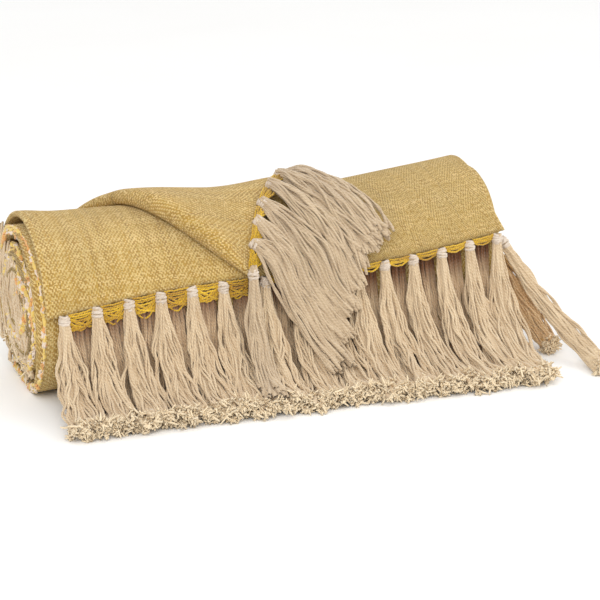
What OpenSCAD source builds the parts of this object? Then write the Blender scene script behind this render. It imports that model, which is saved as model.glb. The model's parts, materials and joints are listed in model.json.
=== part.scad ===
// Fringed throw blanket, folded in thirds and rolled up, with one corner turned back over the roll.
// Millimetres, +Z up. X runs along the roll, and the free end and its fringe lie towards -Y.

/* [Roll] */
// Length of the roll, which is a third of the throw's width
roll_len = 430; // [426:1:434]
// Half depth of the roll at its left end
left_half_depth = 78; // [76:0.5:80]
// Half height of the roll at its left end
left_half_height = 81; // [80:0.5:82]
// Half depth of the roll at its right end
right_half_depth = 76; // [74:0.5:78]
// Half height of the roll at its right end
right_half_height = 85.5; // [84.5:0.5:86.5]
// How much lower the half height is where the roll's back dips between its ends
waist = 5.6; // [0:0.2:6]
// Height of the free edge above the floor at the left end
edge_height_left = 83.5; // [82:0.5:85]
// Height of the free edge above the floor at the right end
edge_height_right = 109; // [107:0.5:110]

/* [Cloth] */
// Thickness of the woven cloth
cloth = 2.4; // [1.8:0.1:2.5]
// Distance from one layer to the next in the folded stack
layer_step = 2.8; // [2.7:0.05:2.85]
// Distance from one turn of the roll to the next
turn_step = 11; // [10.9:0.05:11.1]

/* [Fringe] */
// Distance between tassels along the free edge
tassel_pitch = 29.2; // [28.6:0.1:29.4]
// Half width of a tassel at its cut end
tassel_half_width = 11.5; // [8:0.5:12.5]
// Half thickness of a tassel at its cut end
tassel_half_thick = 4.4; // [3.6:0.1:4.6]
// Radius of a tassel's knot
knot_r = 5; // [4:0.1:5.2]

/* [Hidden] */
$fn = 24;
deg = 180 / PI;
origin_shift = [-30, 56, 0];    // puts the origin under the middle of the whole object's box
sink = 0.95;                    // share of the half height that lies below the roll's middle
hinge_phi = 119.4;              // the free end lifts from the roll at this angle
slit = 0.6;                     // clearance at that bend, in degrees
spiral_step = 12;               // degrees of roll between two cross lines of the cloth
spiral_steps = 150;
core_phi = hinge_phi + slit + spiral_step * spiral_steps;
ramp_from = 300;                // the outermost turn dips under the free end between these angles
ramp_to = 362;
first_turn_depth = 9;
sag = 5;                        // the inner turns sit lower than a concentric roll's
sag_from = 20;
sag_full = 30;
edge_draw = 5.5;                // the free end draws in this much at the right
edge_flare = 9.5;               // and spreads this much again at its right-hand corner
flap_depth = -0.4;              // depth of the turned corner's underside
flap_foot = 3;                  // the turned corner starts this far up from the free edge
flap_rise = 4.5;                // its fringed edge stands off the roll where it goes over the top
flap_back_phi = 240;            // and ends at the left end, at this angle
edge_left_count = 6;            // tassels on the middle third's edge, left of the turned corner
edge_right_count = 9;           // tassels on the top third's edge
edge_count = edge_left_count + edge_right_count;
left_row_x = -203;
right_row_x = -18.5;
edge_wave = 5.3;
edge_gap = 0.5;                 // a knot hangs this far under the edge
hang = 0.045;                   // share of the hanging curve above a knot
floor_gap = 0.3;
fringe_drop = 128;              // length of the hanging curve

// ---- the roll's shape ----

// How far along the roll a place is, from 0 at the left end to 1 at the right
function along(x) = (x + roll_len / 2) / roll_len;
function between(a, b, t) = a + (b - a) * t;
function half_depth(x) = between(left_half_depth, right_half_depth, along(x));
function half_height(x) =
    between(left_half_height, right_half_height, along(x)) - waist * sin(180 * pow(along(x), 1.3));
// The free edge waves: high left of the turned corner and low right of it
function edge_height(x) =
    between(edge_height_left, edge_height_right, along(x)) + edge_wave * sin(360 * along(x));
function ramp(v, from, to) = min(1, max(0, (v - from) / (to - from)));

// Angles round the roll: 0 is level with its middle at the front, 90 is the top, 180 the back
function edge_phi(x) = asin(edge_height(x) / half_height(x) - sink);
// Angle of the place that lies arc millimetres up the cloth from the free edge
function phi_at(x, arc) = edge_phi(x) + arc * deg / half_height(x);

// A place at angle phi, depth millimetres inside the roll's outer surface
function place(x, phi, depth) =
    let (drop = sag * ramp(depth, sag_from, sag_full), b = half_height(x) - depth - drop,
         z = sink * half_height(x) - drop + b * sin(phi))
    [x, (depth - half_depth(x)) * cos(phi), max(z, depth, 0)];

// Depth of the spiral at a total angle that keeps growing turn after turn
function spiral_depth(phi) =
    phi < ramp_to ? first_turn_depth * ramp(phi, ramp_from, ramp_to)
                  : first_turn_depth + turn_step * (phi - ramp_to) / 360;

// ---- solids from grids ----

// A closed sheet through corner(u, v, side), where side 0 is outside and 1 is inside
module sheet(nu, nv, corner) {
    row = nv + 1;
    side = (nu + 1) * row;
    function at(i, j, k) = k * side + i * row + j;
    function quad(a, b, c, d) = [[a, b, c], [a, c, d]];
    points = [for (k = [0, 1], i = [0:nu], j = [0:nv]) corner(i / nu, j / nv, k)];
    outside = [for (i = [1:nu], j = [1:nv])
        each quad(at(i - 1, j - 1, 0), at(i, j - 1, 0), at(i, j, 0), at(i - 1, j, 0))];
    inside = [for (i = [1:nu], j = [1:nv])
        each quad(at(i - 1, j - 1, 1), at(i - 1, j, 1), at(i, j, 1), at(i, j - 1, 1))];
    ends = [for (i = [1:nu])
        each concat(quad(at(i - 1, 0, 0), at(i - 1, 0, 1), at(i, 0, 1), at(i, 0, 0)),
                    quad(at(i - 1, nv, 0), at(i, nv, 0), at(i, nv, 1), at(i - 1, nv, 1)))];
    edges = [for (j = [1:nv])
        each concat(quad(at(0, j - 1, 0), at(0, j, 0), at(0, j, 1), at(0, j - 1, 1)),
                    quad(at(nu, j - 1, 0), at(nu, j - 1, 1), at(nu, j, 1), at(nu, j, 0)))];
    polyhedron(points, concat(outside, inside, ends, edges), convexity = 12);
}

function unit(v) = v / norm(v);

// A bundle of yarns swept along path, with its half width and half thickness at each point;
// outward is the direction that its flat side faces
module bundle(path, halves, outward, sides = 8) {
    last = len(path) - 1;
    function heading(i) = unit(path[min(i + 1, last)] - path[max(i - 1, 0)]);
    function at(i, j) = i * sides + j % sides;
    function rim(i, turn) =
        let (t = heading(i), w = unit(cross(t, outward[i])), o = cross(w, t))
        path[i] + w * halves[i][0] * cos(turn) + o * halves[i][1] * sin(turn);
    points = [for (i = [0:last], j = [0:sides - 1]) rim(i, 360 * j / sides)];
    walls = [for (i = [0:last - 1], j = [0:sides - 1])
        each [[at(i, j), at(i, j + 1), at(i + 1, j + 1)], [at(i, j), at(i + 1, j + 1), at(i + 1, j)]]];
    caps = [[for (j = [sides - 1:-1:0]) at(0, j)], [for (j = [0:sides - 1]) at(last, j)]];
    polyhedron(points, concat(walls, caps), convexity = 4);
}

function bezier(p, t) =
    p[0] * pow(1 - t, 3) + 3 * p[1] * t * pow(1 - t, 2) + 3 * p[2] * t * t * (1 - t) + p[3] * pow(t, 3);

// ---- cloth ----

// Where the turned corner's crease and its fringed edge lie, arc millimetres up from the free edge
function crease_x(arc) = -32.6 - 1.13 * arc + 0.0031 * arc * arc;
function corner_edge_x(arc) = -34 + 0.15 * arc + 0.0036 * arc * arc;
bend_arc = (hinge_phi - edge_phi(0)) / deg * half_height(0) - 2;
// How high the fringed edge stands off the roll
function corner_rise(arc) = flap_rise * ramp(arc, 65, 115);
// The free end's right-hand side edge
function right_edge_x(arc) =
    roll_len / 2 - edge_draw * (1 - ramp(arc, 80, 150)) + edge_flare * pow(1 - ramp(arc, 0, 55), 2);
// The crease goes on behind the bend and runs out at the left end
function back_crease_x(phi) =
    between(crease_x(bend_arc), -roll_len / 2, ramp(phi, hinge_phi, flap_back_phi));

module rolled_third(layer) {
    start = hinge_phi + slit;
    sheet(spiral_steps, 6, function (u, v, side)
        let (phi = start + (core_phi - start) * u,
             depth = spiral_depth(phi) + layer * layer_step + side * cloth,
             left = layer == 0 ? back_crease_x(phi) : -roll_len / 2)
        place(between(left, roll_len / 2, v), phi, depth));
}

module free_third(layer) {
    sheet(10, 8, function (u, v, side)
        let (left = layer == 0 ? crease_x(bend_arc * u) : -roll_len / 2,
             x = between(left, right_edge_x(bend_arc * u), v))
        place(x, between(edge_phi(x), hinge_phi, u), layer * layer_step + side * cloth));
}

module rolled_top_third() { color("goldenrod") rolled_third(0); }
module rolled_middle_third() { color("darkkhaki") rolled_third(1); }
module rolled_base_third() { color("khaki") rolled_third(2); }
module free_top_third() { color("goldenrod") free_third(0); }
module free_middle_third() { color("darkkhaki") free_third(1); }
module free_base_third() { color("khaki") free_third(2); }

// The part of the turned corner that lies over the free end
module turned_corner() {
    color("gold") sheet(12, 6, function (u, v, side)
        let (arc = between(flap_foot, bend_arc, u), left = crease_x(arc) - 1,
             x = between(left, max(corner_edge_x(arc), left + 4), v))
        place(x, min(phi_at(x, arc), hinge_phi),
              flap_depth - corner_rise(arc) * v * v - (1 - side) * cloth));
}

// The rest of it, behind the bend, which narrows to where the crease runs out
module turned_corner_back() {
    start = hinge_phi + slit;
    color("gold") sheet(10, 5, function (u, v, side)
        let (phi = between(start, flap_back_phi, u), left = back_crease_x(phi),
             right = between(corner_edge_x(bend_arc), -roll_len / 2 + 14, u),
             depth = flap_depth - flap_rise * (1 - u) * v * v)
        place(between(left, right, v), phi, depth - (1 - side) * cloth));
}

// ---- fringe ----

function tassel_x(i) =
    i < edge_left_count ? left_row_x + tassel_pitch * i : right_row_x + tassel_pitch * (i - edge_left_count);
function fringe_end_y(x) = between(-145, -185, along(x));

// The curve that the fringe hangs in, from the free edge to its cut ends on the floor
function hanging_curve(x, end_y, end_z, depth) =
    let (edge = place(x, edge_phi(x), depth))
    [edge, edge + [0, -7, -0.5 * edge[2]],
     [x, between(edge[1], end_y, 0.36), end_z + 4], [x, end_y, end_z]];
function curve_out(p, t) =
    let (d = unit(bezier(p, min(1, t + 0.02)) - bezier(p, max(0, t - 0.02)))) [0, d[2], -d[1]];

function tassel_halves(t, knot, wide, thick) =
    t < 0.01 ? [2, 2]
    : t < 0.1 ? [knot, knot]
    : [between(4, wide, ramp(t, 0.1, 0.6)), between(3.4, thick, t)];
stops = [0, 0.05, 0.14, 0.28, 0.44, 0.62, 0.8, 1];

module hanging_tassel(curve, knot, wide, thick, drop = edge_gap) {
    function share(t) = between(hang, 1, t);
    gap = [0, 0, -drop];
    bundle([for (t = stops) bezier(curve, share(t)) + (t == 0 ? [0, 0, knot] + gap : gap)],
           [for (t = stops) tassel_halves(t, knot, wide, thick)],
           [for (t = stops) curve_out(curve, share(t))]);
}

module front_tassel(i) {
    x = tassel_x(i);
    depth = (i < edge_left_count ? layer_step : 0) + cloth / 2;
    end_z = tassel_half_thick + floor_gap + edge_gap;
    color("wheat") hanging_tassel(hanging_curve(x, fringe_end_y(x), end_z, depth),
                                  knot_r, tassel_half_width, tassel_half_thick);
}

// Tassels of the inner thirds, which show between the front ones and lie closer to the roll
module under_tassels() {
    depth = 2;
    knot = 3.8;
    thick = 3.2;
    drop = 4.6;
    end_z = thick + floor_gap + drop;
    color("tan") for (i = [0:edge_count - 2]) {
        x = (tassel_x(i) + tassel_x(i + 1)) / 2;
        hanging_tassel(hanging_curve(x, fringe_end_y(x) + 46, end_z, depth), knot, 7, thick, drop);
    }
}

// How far the turned corner's fringe lies above what is under it: cloth higher up, knots at the edge
function drape_lift(arc) = between(9, 5, ramp(arc, 10, 30)) + corner_rise(arc);
// A place in that fringe: arc up the cloth from the free edge, or down the front fringe
function drape(x, arc) =
    arc >= 0 ? place(x, phi_at(x, arc), -drape_lift(arc))
    : let (c = hanging_curve(x, fringe_end_y(x), 6, 0), t = -arc / fringe_drop)
      bezier(c, t) + drape_lift(arc) * curve_out(c, t);

// Arc of each knot on the turned corner's edge, and [x, arc] of each tassel's cut end
corner_knots = [5, 27, 49, 69, 90, 109, 127];
corner_ends = [[-24, -116], [35, -88], [52, -61], [63, -35], [75, -11], [90, 9], [105, 23]];
drape_stops = [0, 0.06, 0.16, 0.3, 0.44, 0.58, 0.72, 0.86, 1];

module corner_tassel(i) {
    start = [corner_edge_x(corner_knots[i]) + knot_r + 1.5, corner_knots[i]];
    end = corner_ends[i];
    bend = [between(start[0], end[0], 0.6), between(start[1], end[1], 0.4)];
    function flat(t) = start * pow(1 - t, 2) + 2 * bend * t * (1 - t) + end * t * t;
    function spot(t) = let (p = flat(t)) drape(p[0], p[1]);
    color("wheat") bundle([for (t = drape_stops) spot(t)],
        [for (t = drape_stops) t == 0 ? [2, 2] : t < 0.1 ? [4.6, 3.6] : [between(3.6, 7, t), 3]],
        [for (t = drape_stops) spot(t) - [spot(t)[0], 0, sink * half_height(0)]]);
}

module end_tassel(top, end, wide) {
    above_end = [between(top[0], end[0], 0.6), between(top[1], end[1], 0.5), end[2] + 12];
    path = [top, top + [14, -6, -24], above_end, end];
    color("wheat") bundle([for (t = stops) bezier(path, t)],
                          [for (t = stops) t == 0 ? [2, 2] : [between(3.6, wide, t), between(3.6, 4.4, t)]],
                          [for (t = stops) [0.7 * (1 - t), 0.4 * (t - 1), 0.6 + t]]);
}
module end_tassel_long() { end_tassel([228, -58, 88], [272, -190, 5.2], 9); }
module end_tassel_short() { end_tassel([225, -44, 76], [257, -108, 5.2], 8); }

// Tassels of the throw's other fringed end, wound on inside the roll past the end of the cloth
module inner_tassels() {
    turn = 300;
    depth = spiral_depth(core_phi) + 3.6;
    function core(x, t) = place(x, core_phi + 4 + turn * t, depth + 5.5 * t);
    color("wheat") for (i = [0:edge_count - 1])
        bundle([for (t = [0:0.125:1]) core(left_row_x + tassel_pitch * i, t)],
               [for (t = [0:0.125:1]) [8, 2.4]],
               [for (t = [0:0.125:1]) core(0, t) - core(0, t + 0.6)], 6);
}

// Strands of the inner fringe that have come out at the left end and hang down its face
module core_strands() {
    face = -roll_len / 2 - 4;
    color("wheat") for (i = [0:5]) {
        top = [face, 30 - 6 * i, 104 - 4 * i];
        end = [face, 44 - 14 * i, 16 + 5 * i];
        path = [top, top + [-1, 8, -28], end + [-1, 10, 28], end];
        bundle([for (t = [0:0.2:1]) bezier(path, t)], [for (t = [0:0.2:1]) [1.8, 1.8]],
               [for (t = [0:0.2:1]) [-1, 0, 0]], 6);
    }
}

// ---- overcast edges ----

// A strip of mustard yarn whipped over an edge from a to b
module whipped(a, b, r) {
    run = b - a;
    translate(a) rotate([0, acos(run[2] / norm(run)), atan2(run[1], run[0])]) cylinder(r = r, h = norm(run));
}

module edge_stitching(first, last, depth) {
    stitch_r = 1.7;
    below = [0, 0, -stitch_r - edge_gap];
    function spot(x) = place(x, edge_phi(x), depth) + below;
    for (i = [first:last - 1])
        whipped(spot(tassel_x(i) + knot_r + 1), spot(tassel_x(i + 1) - knot_r - 1), stitch_r);
}

module edge_stitching_left() {
    color("gold") edge_stitching(0, edge_left_count - 1, layer_step + cloth / 2);
}
module edge_stitching_right() {
    color("gold") edge_stitching(edge_left_count, edge_count - 1, cloth / 2);
}
module corner_stitching() {
    stitch_r = 1.4;
    function spot(arc) =
        let (x = corner_edge_x(arc) + stitch_r + 0.6) place(x, phi_at(x, arc), -cloth - corner_rise(arc));
    color("gold") for (i = [0:len(corner_knots) - 2])
        whipped(spot(corner_knots[i] + 6), spot(corner_knots[i + 1] - 6), stitch_r);
}

// ---- the assembly ----

module placed() { translate(origin_shift) children(); }

placed() rolled_top_third();
placed() rolled_middle_third();
placed() rolled_base_third();
placed() free_top_third();
placed() free_middle_third();
placed() free_base_third();
placed() turned_corner();
placed() turned_corner_back();
placed() edge_stitching_left();
placed() edge_stitching_right();
placed() corner_stitching();
for (i = [1:edge_count])
    placed() front_tassel(i - 1);
for (i = [1:len(corner_knots)])
    placed() corner_tassel(i - 1);
placed() under_tassels();
placed() inner_tassels();
placed() end_tassel_long();
placed() end_tassel_short();
placed() core_strands();
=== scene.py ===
"""A fringed throw, folded in thirds and rolled up, with one corner turned back over the roll.

Shapes are worked out in the roll's own frame in millimetres: x runs along the roll from its middle,
the free edge lies towards -y, and z is up from the floor. to_world() puts them into the frame.
"""
import json
import math

import bpy
import numpy as np
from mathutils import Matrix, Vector

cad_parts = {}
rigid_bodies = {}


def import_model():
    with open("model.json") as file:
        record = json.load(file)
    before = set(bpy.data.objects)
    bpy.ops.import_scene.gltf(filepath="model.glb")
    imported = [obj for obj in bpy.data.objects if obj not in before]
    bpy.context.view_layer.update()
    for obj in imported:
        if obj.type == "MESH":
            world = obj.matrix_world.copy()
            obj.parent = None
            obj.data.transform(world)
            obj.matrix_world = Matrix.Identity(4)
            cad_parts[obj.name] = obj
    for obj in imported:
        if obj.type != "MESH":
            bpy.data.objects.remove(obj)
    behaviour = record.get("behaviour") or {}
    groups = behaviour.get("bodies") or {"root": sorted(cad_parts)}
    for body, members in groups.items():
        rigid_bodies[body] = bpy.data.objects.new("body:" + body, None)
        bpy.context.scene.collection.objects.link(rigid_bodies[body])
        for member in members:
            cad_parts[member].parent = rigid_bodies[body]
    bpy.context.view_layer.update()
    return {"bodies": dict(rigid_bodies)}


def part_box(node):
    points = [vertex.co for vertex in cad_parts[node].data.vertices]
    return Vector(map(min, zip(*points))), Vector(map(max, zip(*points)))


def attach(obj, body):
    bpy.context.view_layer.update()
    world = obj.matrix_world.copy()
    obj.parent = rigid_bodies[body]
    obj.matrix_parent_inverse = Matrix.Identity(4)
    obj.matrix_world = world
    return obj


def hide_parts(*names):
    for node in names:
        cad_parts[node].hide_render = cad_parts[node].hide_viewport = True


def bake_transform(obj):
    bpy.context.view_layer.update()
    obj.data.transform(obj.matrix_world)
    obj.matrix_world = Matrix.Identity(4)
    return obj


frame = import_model()
MM = 0.001


# ---- the roll: sizes in millimetres, angles in degrees ----
# A pair holds the values at the roll's left and right ends. Angles start level with the roll's
# middle at the front and pass its top at 90.
ROLL_LOW, ROLL_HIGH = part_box("rolled_base_third")
ROLL_LEN = (ROLL_HIGH[0] - ROLL_LOW[0]) / MM
ORIGIN = np.array([(ROLL_LOW[0] + ROLL_HIGH[0]) / 2, (ROLL_LOW[1] + ROLL_HIGH[1]) / 2, 0.0])
HALF = ROLL_LEN / 2
HALF_DEPTH = (78.0, 76.0)
HALF_HEIGHT = (81.0, 85.5)
WAIST = 5.6                       # taken off the half height between the ends
SINK = 0.95                       # share of the half height below the roll's middle
FLOOR_BLEND = 3.0                 # how softly the cloth comes down on the floor
EDGE_HEIGHT = (83.5, 109.0)       # of the free edge
EDGE_WAVE = 5.3                   # it is higher left of the middle and lower right of it
EDGE_DRAW = 5.5                   # the free end draws in this much at the right
EDGE_FLARE = 12.5                 # and spreads this much again at its right-hand corner
HINGE_PHI = 119.4                 # the free end lifts from the roll here
PART_PHI = 152.0                  # its cloth is drawn as far as this
CLOTH = 2.4                       # thickness of the cloth
LAYER = 2.8                       # from one third to the next
TURN = 11.0                       # from one turn of the roll to the next
FIRST_TURN = 9.0                  # the outermost turn dips this far under the free end
DIP_FROM, DIP_TO = 296.0, 362.0   # between these angles
CORE_PHI = 1920.0                 # the inner end of the cloth, counted on turn after turn
SAG = 5.0                         # the inner turns sit this much lower
SAG_FROM, SAG_FULL = 20.0, 30.0   # beginning and complete at these depths
FLAP_FOOT = 1.0                   # the turned corner starts this far up from the free edge
FLAP_END_PHI = 205.0              # its crease runs out at the left end here
CORNER_ARC = 168.0                # its own tip, up the cloth from the free edge
PUFF = 6.5                        # it stands this far off the cloth below its crease
CORNER_PART_PHI = 112.0           # it is parted here into a front and a back piece
PITCH = 29.2                      # from one front tassel to the next
KNOT = 5.0                        # radius of a knot
# x of the first front tassel and their number, left of the turned corner and right of it
LEFT_ROW, LEFT_COUNT = -203.0, 6
RIGHT_ROW, RIGHT_COUNT = -18.5, 9
EDGE_COUNT = LEFT_COUNT + RIGHT_COUNT


def to_world(points):
    """Roll-frame millimetres to world metres."""
    return np.asarray(points, float) * MM + ORIGIN


def along(x):
    return (np.asarray(x, float) + HALF) / ROLL_LEN


def between(a, b, t):
    return a + (b - a) * t


def ramp(v, start, end):
    return np.clip((np.asarray(v, float) - start) / (end - start), 0, 1)


def smooth(v, start, end):
    t = ramp(v, start, end)
    return t * t * (3 - 2 * t)


def half_depth(x):
    return between(*HALF_DEPTH, along(x))


def half_height(x):
    dip = np.sin(np.pi * np.maximum(along(x), 0) ** 1.3)
    return between(*HALF_HEIGHT, along(x)) - WAIST * dip


def edge_height(x):
    return between(*EDGE_HEIGHT, along(x)) + EDGE_WAVE * np.sin(2 * np.pi * along(x))


def edge_phi(x):
    """Angle of the free edge."""
    return np.degrees(np.arcsin(edge_height(x) / half_height(x) - SINK))


def phi_at(x, arc):
    """Angle of the place arc millimetres up the cloth from the free edge."""
    return edge_phi(x) + np.degrees(arc / half_height(x))


def arc_at(x, phi):
    return np.radians(phi - edge_phi(x)) * half_height(x)


def ripple(x, phi):
    """The soft unevenness of rolled cloth, in millimetres outwards."""
    p = np.radians(phi)
    wide = np.sin(x / 61 + 1.3 * p)
    middling = 0.8 * np.sin(x / 33 - 2.1 * p + 1)
    narrow = 0.6 * np.sin(x / 23 + 3.3 * p + 2)
    return 0.45 * (wide + middling + narrow)


def end_lip(x, phi):
    """The outer turn stands up a little where it folds at the left end."""
    return 3.5 * np.exp(-((x + HALF) / 22) ** 2) * smooth(phi, 30, 90) * (1 - smooth(phi, 150, 300))


def pocket(x, phi, depth):
    """The inner turns fall away from the outer one at the left end, high at the front."""
    near = np.exp(-((np.mod(phi, 360) - 66) / 28) ** 2) * np.exp(-((x + HALF) / 80) ** 2)
    fall = np.maximum(0, 16 - 4.2 * (depth - 20) / TURN)
    return near * fall * smooth(depth, 18.5, 20.5)


def place(x, phi, depth):
    """A place at angle phi, depth millimetres inside the roll's outer surface."""
    x, phi, depth = np.broadcast_arrays(*(np.asarray(v, float) for v in (x, phi, depth)))
    drop = SAG * ramp(depth, SAG_FROM, SAG_FULL)
    inner = depth - ripple(x, phi) - end_lip(x, phi) + pocket(x, phi, depth)
    p = np.radians(phi)
    z = SINK * half_height(x) - drop + (half_height(x) - inner - drop) * np.sin(p)
    above = z - depth
    z = np.maximum(depth, 0) + (above + np.sqrt(above ** 2 + FLOOR_BLEND ** 2)) / 2
    return np.stack([x, (inner - half_depth(x)) * np.cos(p), z], -1)


def spiral_depth(phi):
    """How deep the cloth has wound at an angle that is counted on turn after turn."""
    dip = FIRST_TURN * smooth(phi, DIP_FROM, DIP_TO)
    return np.where(phi < DIP_TO, dip, FIRST_TURN + TURN * (phi - DIP_TO) / 360)


def crease_x(arc):
    """Where the turned corner's crease lies, arc millimetres up the cloth."""
    return -32.6 - 1.13 * arc + 0.0031 * arc ** 2


def corner_edge_x(arc):
    """Where its fringed edge lies."""
    return -34 + 0.15 * arc + 0.0036 * arc ** 2


def right_edge_x(arc):
    """The free end draws in a little at the right and spreads again towards its edge."""
    return HALF - EDGE_DRAW * (1 - smooth(arc, 80, 150)) + EDGE_FLARE * (1 - ramp(arc, 0, 55)) ** 2


BEND_ARC = float(arc_at(0, HINGE_PHI))


# ---- meshes ----
def mesh_object(name, points, faces, uv, material, tone=None):
    """A smooth mesh from roll-frame points and quads, with one UV, and perhaps a tone, for each point."""
    mesh = bpy.data.meshes.new(name)
    faces = np.asarray(faces, np.int64)
    mesh.vertices.add(len(points))
    mesh.vertices.foreach_set("co", to_world(points).astype(np.float32).ravel())
    mesh.loops.add(faces.size)
    mesh.loops.foreach_set("vertex_index", faces.astype(np.int32).ravel())
    mesh.polygons.add(len(faces))
    mesh.polygons.foreach_set("loop_start", np.arange(0, faces.size, 4, dtype=np.int32))
    mesh.polygons.foreach_set("use_smooth", np.ones(len(faces), bool))
    layer = mesh.uv_layers.new(name="UVMap")
    layer.data.foreach_set("uv", np.asarray(uv, np.float32)[faces.ravel()].ravel())
    if tone is not None:
        values = mesh.attributes.new("tone", "FLOAT", "POINT").data
        values.foreach_set("value", tone.astype(np.float32))
    mesh.update()
    mesh.validate()
    obj = bpy.data.objects.new(name, mesh)
    bpy.context.scene.collection.objects.link(obj)
    mesh.materials.append(material)
    return obj


def grid_faces(rows, columns, wrap=False):
    """Quads of a grid of points; with wrap, its last column joins its first."""
    i = np.arange(rows - 1)[:, None]
    j = np.arange(columns if wrap else columns - 1)[None, :]
    k = (j + 1) % columns
    return np.stack([i * columns + j, i * columns + k, (i + 1) * columns + k, (i + 1) * columns + j],
                    -1).reshape(-1, 4)


def tubes(paths, radii, sides, side_way):
    """Points, quads, UVs and strand numbers of many tubes: paths is (tubes, points, 3) in millimetres."""
    count, steps, _ = paths.shape
    side_way = np.asarray(side_way, float)
    radii = np.broadcast_to(radii, (count, steps))
    heading = np.gradient(paths, axis=1)
    heading /= np.linalg.norm(heading, axis=2, keepdims=True) + 1e-9
    across = side_way - heading * (heading @ side_way)[..., None]
    across /= np.linalg.norm(across, axis=2, keepdims=True) + 1e-9
    up = np.cross(heading, across)
    turn = 2 * np.pi * np.arange(sides) / sides
    ring = across[:, :, None] * np.cos(turn)[:, None] + up[:, :, None] * np.sin(turn)[:, None]
    points = paths[:, :, None] + ring * radii[:, :, None, None]
    one = grid_faces(steps, sides, wrap=True)
    faces = (one[None] + (np.arange(count) * steps * sides)[:, None, None]).reshape(-1, 4)
    length = np.cumsum(np.linalg.norm(np.diff(paths, axis=1), axis=2), axis=1)
    run = np.concatenate([np.zeros((count, 1)), length], axis=1)[:, :, None]
    uv = np.stack(np.broadcast_arrays((np.arange(sides) / sides)[None, None], run * 0.01), -1)
    number = np.broadcast_to(np.arange(count)[:, None, None], (count, steps, sides))
    return points.reshape(-1, 3), faces, uv.reshape(-1, 2), number.reshape(-1)


def joined(parts):
    """Several (points, faces, uv, tone) sets as one."""
    points, faces, uvs, tones, base = [], [], [], [], 0
    for p, f, u, t in parts:
        points.append(p)
        faces.append(f + base)
        uvs.append(u)
        tones.append(np.broadcast_to(t, len(p)))
        base += len(p)
    return np.concatenate(points), np.concatenate(faces), np.concatenate(uvs), np.concatenate(tones)


def strands(paths, radii, sides, side_way, rng):
    """Tubes with a tone of its own for each strand."""
    p, f, u, n = tubes(paths, radii, sides, side_way)
    return p, f, u, rng.random(len(paths))[n]


# ---- materials ----
def colour(r, g, b):
    """An sRGB colour, 0 to 255, as linear RGBA."""
    return tuple(((c / 255 + 0.055) / 1.055) ** 2.4 if c > 10 else c / 255 / 12.92 for c in (r, g, b)) + (1,)


class Nodes:
    """A short way to write a node tree."""

    def __init__(self, name, roughness=0.9, sheen=0.25):
        self.material = bpy.data.materials.new(name)
        self.material.use_nodes = True
        self.tree = self.material.node_tree
        self.shader = self.tree.nodes["Principled BSDF"]
        self.shader.inputs["Roughness"].default_value = roughness
        self.shader.inputs["Sheen Weight"].default_value = sheen
        self.shader.inputs["Sheen Roughness"].default_value = 0.6
        self.shader.inputs["Specular IOR Level"].default_value = 0.15

    def put(self, socket, value):
        if isinstance(value, bpy.types.NodeSocket):
            self.tree.links.new(value, socket)
        else:
            socket.default_value = value

    def math(self, operation, a, b=0.0, c=0.0):
        node = self.tree.nodes.new("ShaderNodeMath")
        node.operation = operation
        for socket, value in zip(node.inputs, (a, b, c)):
            self.put(socket, value)
        return node.outputs[0]

    def mix(self, factor, a, b):
        node = self.tree.nodes.new("ShaderNodeMix")
        node.data_type = "RGBA"
        self.put(node.inputs[0], factor)
        self.put(node.inputs[6], a)
        self.put(node.inputs[7], b)
        return node.outputs[2]

    def uv(self):
        node = self.tree.nodes.new("ShaderNodeUVMap")
        node.uv_map = "UVMap"
        split = self.tree.nodes.new("ShaderNodeSeparateXYZ")
        self.tree.links.new(node.outputs[0], split.inputs[0])
        return split.outputs[0], split.outputs[1]

    def vector(self, x, y):
        node = self.tree.nodes.new("ShaderNodeCombineXYZ")
        for socket, value in zip(node.inputs, (x, y)):
            self.put(socket, value)
        return node.outputs[0]

    def noise(self, vector, scale, detail=2.0):
        node = self.tree.nodes.new("ShaderNodeTexNoise")
        self.put(node.inputs["Vector"], vector)
        node.inputs["Scale"].default_value = scale
        node.inputs["Detail"].default_value = detail
        return node.outputs[0]

    def white(self, vector):
        node = self.tree.nodes.new("ShaderNodeTexWhiteNoise")
        self.put(node.inputs["Vector"], vector)
        return node.outputs[0]

    def position(self):
        return self.tree.nodes.new("ShaderNodeNewGeometry").outputs["Position"]

    def attribute(self, name):
        node = self.tree.nodes.new("ShaderNodeAttribute")
        node.attribute_name = name
        return node.outputs["Fac"]

    def bump(self, height, distance):
        node = self.tree.nodes.new("ShaderNodeBump")
        node.inputs["Distance"].default_value = distance
        self.put(node.inputs["Height"], height)
        self.put(self.shader.inputs["Normal"], node.outputs[0])

    def finish(self, base):
        self.put(self.shader.inputs["Base Color"], base)
        return self.material


WEFT_STEP = 1.0                   # millimetres from one weft thread to the next
WARP_STEP = 1.45                  # and from one warp thread to the next
SHAFTS = 5.0                      # threads in which the twill repeats
WARP_SHARE = 0.5                  # a warp thread lies on top in this first part of them
ZIGZAG = 18.0                     # warp threads after which the twill's slope turns round
SLIPS = 0.10                      # share of the crossings that show the other thread


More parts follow.
